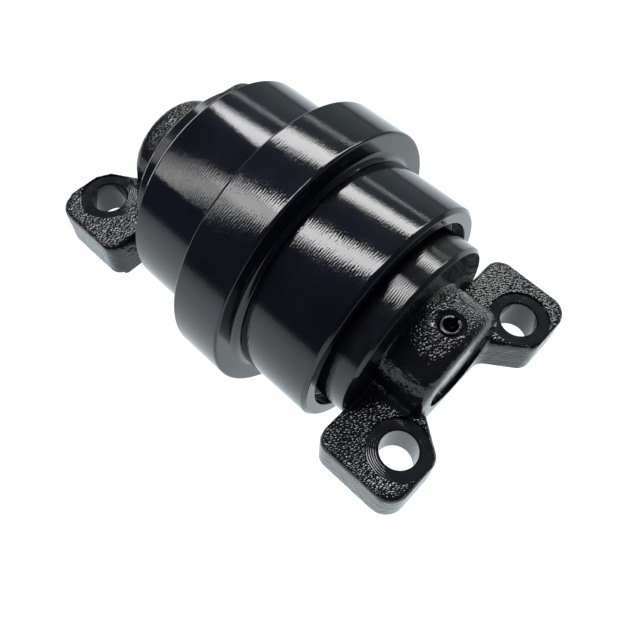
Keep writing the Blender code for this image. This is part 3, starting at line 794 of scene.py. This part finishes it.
def cast_skin_tree():
    """Node tree that lifts and sinks a casting's skin by a few hundredths of a millimetre."""
    tree = bpy.data.node_groups.new("cast_skin", "GeometryNodeTree")
    face = tree.interface
    face.new_socket("Casting", in_out="INPUT", socket_type="NodeSocketGeometry")
    face.new_socket("Grain", in_out="INPUT", socket_type="NodeSocketFloat")
    face.new_socket("Depth", in_out="INPUT", socket_type="NodeSocketFloat")
    face.new_socket("Finish", in_out="INPUT", socket_type="NodeSocketMaterial")
    face.new_socket("Piece", in_out="OUTPUT", socket_type="NodeSocketGeometry")
    entry = add(tree, "NodeGroupInput").outputs
    scale = add(tree, "ShaderNodeMath", {0: 1.0, 1: entry["Grain"]}, operation="DIVIDE").outputs[0]
    lumps = add(tree, "ShaderNodeTexNoise", {"Scale": scale, "Detail": 2.0}).outputs["Fac"]
    swing = add(tree, "ShaderNodeMath", {0: lumps, 1: 0.5}, operation="SUBTRACT").outputs[0]
    height = add(tree, "ShaderNodeMath", {0: swing, 1: entry["Depth"]}, operation="MULTIPLY").outputs[0]
    normal = add(tree, "GeometryNodeInputNormal").outputs[0]
    offset = add(tree, "ShaderNodeVectorMath", {0: normal, "Scale": height}, operation="SCALE").outputs[0]
    moved = add(tree, "GeometryNodeSetPosition", {"Geometry": entry["Casting"], "Offset": offset}).outputs[0]
    real = add(tree, "GeometryNodeRealizeInstances", {"Geometry": moved}).outputs[0]
    finish = add(tree, "GeometryNodeSetMaterial", {"Geometry": real, "Material": entry["Finish"]}).outputs[0]
    add(tree, "NodeGroupOutput", {"Piece": finish})
    return tree


def make_casting():
    """Boss and ears as one soft-edged sand casting, with its machined cuts."""
    core = rod(HOUSING_RADIUS - 2.5 * MM, (0, BOSS_ROOT, 0), (0, HOUSING_FACE - 0.2 * MM, 0), 128)
    rough = [core, boss_bar(), ear_plate(), boss_fillet(1), boss_fillet(-1)]
    casting = joined("casting", rough, LOOKS["collar_enamel"])
    remesh = casting.modifiers.new("skin", "REMESH")
    remesh.mode = "VOXEL"
    remesh.voxel_size = CASTING_VOXEL
    applied(casting, remesh)
    soften = casting.modifiers.new("soften", "SMOOTH")
    soften.factor = 0.5
    soften.iterations = SOFTENING_PASSES
    applied(casting, soften)
    skin = {"Grain": SKIN_GRAIN, "Depth": SKIN_DEPTH, "Finish": LOOKS["collar_enamel"]}
    shaped(casting, cast_skin_tree(), skin)
    combine(casting, turned_housing(), "UNION")
    reach = 80 * MM
    start = HOUSING_FACE - 0.01 * MM
    outline = [(-reach, start), (reach, start), (reach, 2 * reach), (-reach, 2 * reach)]
    below = prism(outline, MOUNTING_FACE - 20 * MM, MOUNTING_FACE)
    combine(casting, joined("below", [below], SPOTFACE_LOOK), "DIFFERENCE")
    for side in (1, -1):
        combine(casting, bolt_cutter(side), "DIFFERENCE")
    bore = rod(SHAFT_RADIUS + GAP, (0, THRUST_FACE - 9 * MM, 0), (0, BOSS_END + 9 * MM, 0), RING_STEPS)
    combine(casting, joined("bore", [bore], HOUSING_LOOK), "DIFFERENCE")
    return casting


def make_collars():
    """Both collars from one casting; the front pin goes in through the crown, the rear one from below."""
    front = make_casting()
    rear = as_object("collar_rear_finish", front.data.copy())
    front.name = "collar_front_finish"
    combine(front, pin_cutter(BOSS_RADIUS - 0.6 * MM, math.pi / 2), "DIFFERENCE")
    combine(rear, pin_cutter(0.1 * MM - MOUNTING_FACE, -math.pi / 2), "DIFFERENCE")
    rear.data.transform(Matrix.Rotation(math.pi, 4, "Z"))
    for end, collar in (("front", front), ("rear", rear)):
        shade(collar.data)
        fit(collar, "frame_side", f"collar_{end}")


def make_lock_pin(end, station, foot):
    """Slotted spring pin, chamfered at its ends, with its slot towards -X."""
    start = PIN_SLOT_ANGLE / 2 - 180
    finish = start + 360 - PIN_SLOT_ANGLE
    outline = arc((0, 0), PIN_RADIUS, start, finish, 48) + arc((0, 0), PIN_BORE, finish, start, 48)
    mesh = prism([(x, y + station) for x, y in outline], foot, foot + PIN_LENGTH)
    rims = [edge for edge in mesh.edges if abs(edge.verts[0].co.z - edge.verts[1].co.z) < 0.01 * MM]
    bmesh.ops.bevel(mesh, geom=rims, offset=PIN_CHAMFER, segments=2, profile=0.5, affect="EDGES")
    pin = joined(f"lock_pin_{end}_finish", [mesh], LOOKS["spring_pin_steel"])
    shade(pin.data, math.radians(40))
    fit(pin, "frame_side", f"lock_pin_{end}")


make_shell()
make_shaft()
make_oil_plug()
make_plug_washer()
make_collars()
make_lock_pin("front", PIN_STATION, PIN_FOOT)
make_lock_pin("rear", -PIN_STATION, REAR_PIN_HEAD)
for end, side in (("front", 1), ("rear", -1)):
    make_bushing(end, side)
    make_seal_half(end, side, "fixed", side, "frame_side")
    make_seal_half(end, side, "turning", -side, "roller")
    make_oring(end, side)


# ---------------------------------------------------------------- studio

FLOOR_SIZE = 6.0
FLOOR_MOTTLE = 0.18
# Distances from the middle within which the floor's painted glow is full, and past which it has faded
PAINTED_GLOW_FULL = 0.3
PAINTED_GLOW_ENDS = 1.3
LIGHT_END_OF_ROOM = (-0.93, -0.2, -0.1)
CAMERA_PLACE = Vector((128.9, 119.8, 248.64)) * MM
CAMERA_TARGET = Vector((21.71, 26.70, 0.0)) * MM
CAMERA_ROLL = math.radians(2.72)
CAMERA_LENS = 38.801
LAMP_HEIGHT = 1.6
LAMP_RUN = Vector((0.81, -0.585, 0.0)).normalized()
LAMP_STEP = Vector((0.585, 0.81, 0.0)).normalized()


def pale_floor():
    """Pale floor, faintly mottled, with a painted glow in its surface that fills in the floor's shadows; the
    glow is strongest round the middle and fades further out.
    """
    made, tree, shader = new_material("pale_floor_with_painted_glow")
    place = add(tree, "ShaderNodeTexCoord").outputs["Object"]
    mottle = add(tree, "ShaderNodeTexNoise", {"Vector": place, "Scale": 1 / FLOOR_MOTTLE, "Detail": 2.0})
    color = add(tree, "ShaderNodeMix", {
        MIX_SHARE: mottle.outputs["Fac"], MIX_FIRST: hex_color("#404142"), MIX_SECOND: hex_color("#484949"),
    }, data_type="RGBA").outputs[MIX_RESULT]
    tree.links.new(color, shader.inputs["Base Color"])
    # Painted glow: the floor gives off light of its own, strongest round the middle, so that its shadows are
    # filled in
    shader.inputs["Emission Color"].default_value = hex_color("#eef8fd")
    distance = add(tree, "ShaderNodeVectorMath", {0: place}, operation="LENGTH").outputs["Value"]
    glow = add(tree, "ShaderNodeMapRange", {
        "Value": distance, "From Min": PAINTED_GLOW_FULL, "From Max": PAINTED_GLOW_ENDS, "To Min": 1.2, "To Max": 0.1,
    }).outputs["Result"]
    tree.links.new(glow, shader.inputs["Emission Strength"])
    shader.inputs["Roughness"].default_value = 0.9
    shader.inputs["Specular IOR Level"].default_value = 0.1
    mesh = bmesh.new()
    bmesh.ops.create_grid(mesh, x_segments=2, y_segments=2, size=FLOOR_SIZE / 2)
    bmesh.ops.translate(mesh, verts=mesh.verts, vec=(0, 0, frame_box[0][2]))
    joined("floor", [mesh], made)


def strip_lamp(name, offset, start, end, width, radiance):
    """Overhead strip lamp: its offset across the row of lamps, where it starts and ends along its own
    run, and its width, all in lamp heights."""
    length = (end - start) * LAMP_HEIGHT
    lamp = bpy.data.lights.new(name, "AREA")
    lamp.shape = "RECTANGLE"
    lamp.size, lamp.size_y = length, width * LAMP_HEIGHT
    lamp.energy = radiance * math.pi * length * width * LAMP_HEIGHT
    holder = bpy.data.objects.new(name, lamp)
    bpy.context.scene.collection.objects.link(holder)
    place_at = (LAMP_STEP * offset + LAMP_RUN * (start + end) / 2 + Vector((0, 0, 1))) * LAMP_HEIGHT
    axes = Matrix((LAMP_RUN, LAMP_STEP, LAMP_RUN.cross(LAMP_STEP))).transposed()
    holder.matrix_world = Matrix.Translation(place_at) @ axes.to_4x4()


def room_light():
    """Dim grey room: darker beside the camera, lighter and slightly green beyond the roller."""
    world = bpy.data.worlds.new("room")
    world.use_nodes = True
    tree = world.node_tree
    shader = tree.nodes["Background"]
    way = add(tree, "ShaderNodeTexCoord").outputs["Generated"]
    side = add(tree, "ShaderNodeVectorMath", {0: way, 1: LIGHT_END_OF_ROOM}, operation="DOT_PRODUCT")
    share = add(tree, "ShaderNodeMapRange", {
        "Value": side.outputs["Value"], "From Min": 0.1, "From Max": 0.95, "To Min": 0.0, "To Max": 1.0,
    }).outputs["Result"]
    room = add(tree, "ShaderNodeMix", {
        MIX_SHARE: share, MIX_FIRST: hex_color("#3a3d4a"), MIX_SECOND: hex_color("#97a5a0"),
    }, data_type="RGBA").outputs[MIX_RESULT]
    seen = add(tree, "ShaderNodeLightPath").outputs["Is Camera Ray"]
    backdrop = add(tree, "ShaderNodeMix", {
        MIX_SHARE: seen, MIX_FIRST: room, MIX_SECOND: hex_color("#ffffff"),
    }, data_type="RGBA").outputs[MIX_RESULT]
    tree.links.new(backdrop, shader.inputs["Color"])
    bpy.context.scene.world = world


def make_camera():
    """Camera above the front right of the roller, looking down at it, rolled a little."""
    lens = bpy.data.cameras.new("camera")
    lens.lens = CAMERA_LENS
    camera = bpy.data.objects.new("camera", lens)
    bpy.context.scene.collection.objects.link(camera)
    aim = (CAMERA_TARGET - CAMERA_PLACE).to_track_quat("-Z", "Y").to_matrix().to_4x4()
    roll = Matrix.Rotation(CAMERA_ROLL, 4, "Z")
    camera.matrix_world = Matrix.Translation(CAMERA_PLACE) @ aim @ roll
    bpy.context.scene.camera = camera


pale_floor()
room_light()
strip_lamp("near_strip", -0.19, -0.1, 0.58, 0.16, 14.0)
strip_lamp("near_strip_middle", -0.19, 0.58, 0.92, 0.19, 8.0)
strip_lamp("near_strip_end", -0.19, 0.92, 2.2, 0.19, 5.0)
strip_lamp("middle_strip", -0.87, -1.6, 0.12, 0.3, 13.0)
strip_lamp("far_strip", -1.69, -2.0, 2.0, 0.18, 3.0)
make_camera()
bpy.context.scene.view_settings.view_transform = "Standard"
